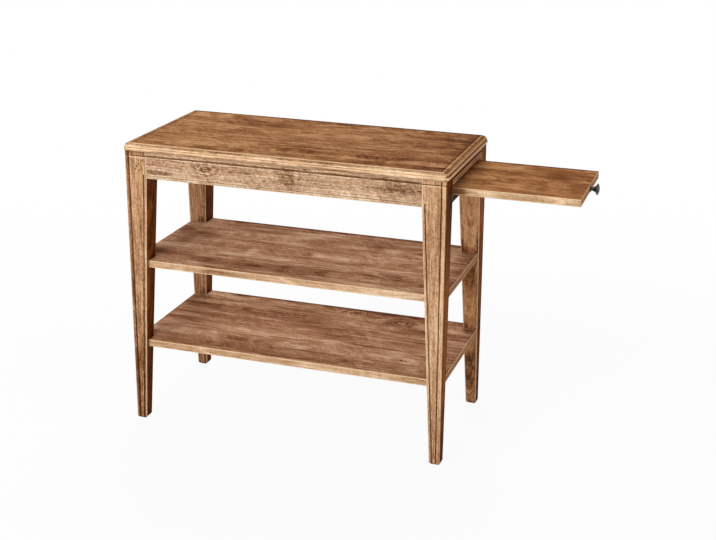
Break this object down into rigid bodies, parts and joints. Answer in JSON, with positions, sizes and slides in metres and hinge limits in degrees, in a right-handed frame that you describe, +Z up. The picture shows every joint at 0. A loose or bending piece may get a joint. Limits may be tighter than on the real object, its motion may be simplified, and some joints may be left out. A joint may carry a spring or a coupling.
{
  "type": "side table",
  "caption": "Rectangular wooden side table with a moulded top, tapered beaded legs, shelves notched round the legs, and a knobbed leaf that slides out of one end.",
  "frame": {"origin": "on the floor, at the bottom centre of the whole table's bounding box with the leaf drawn out as at rest; the middle of the frame lies 130 mm towards -X", "axes": "+X along the length towards the leaf, -Y the front with the long moulded side, +Z up"},
  "size_m": [0.944, 0.328, 0.61],
  "materials": {
    "top_wood": "stained, rubbed and waxed",
    "leg_wood": "stained, rubbed and waxed",
    "apron_wood": "stained, rubbed and waxed",
    "end_rail_wood": "stained, rubbed and waxed",
    "shelf_wood": "stained, rubbed and waxed",
    "leaf_wood": "stained, rubbed and waxed",
    "inner_wood": "planed, unstained",
    "dowel_wood": "turned, unstained",
    "screw_steel": "bright zinc",
    "knob_metal": "black, satin"
  },
  "bodies": {
    "table": {"top_panel": "top_wood", "front_left_leg": "leg_wood", "front_right_leg": "leg_wood", "back_left_leg": "leg_wood", "back_right_leg": "leg_wood", "front_apron": "apron_wood", "back_apron": "apron_wood", "left_apron": "end_rail_wood", "right_upper_rail": "end_rail_wood", "right_lower_rail": "end_rail_wood", "upper_shelf": "shelf_wood", "lower_shelf": "shelf_wood", "upper_shelf_dowels": "dowel_wood", "lower_shelf_dowels": "dowel_wood", "front_runner": "inner_wood", "back_runner": "inner_wood", "runner_tie": "inner_wood", "stop_batten": "inner_wood", "front_corner_block": "inner_wood", "back_corner_block": "inner_wood", "top_screws": "screw_steel", "runner_screws": "screw_steel", "tie_screws": "screw_steel"},
    "sliding_leaf": {"leaf": "leaf_wood", "leaf_stop": "inner_wood", "leaf_stop_screws": "screw_steel", "leaf_knob": "knob_metal", "knob_stud": "screw_steel"}
  },
  "joints": [
    {"name": "leaf_slide", "type": "slide", "parent": "table", "child": "sliding_leaf", "axis": [1, 0, 0], "range_m": [-0.246, 0]}
  ]
}
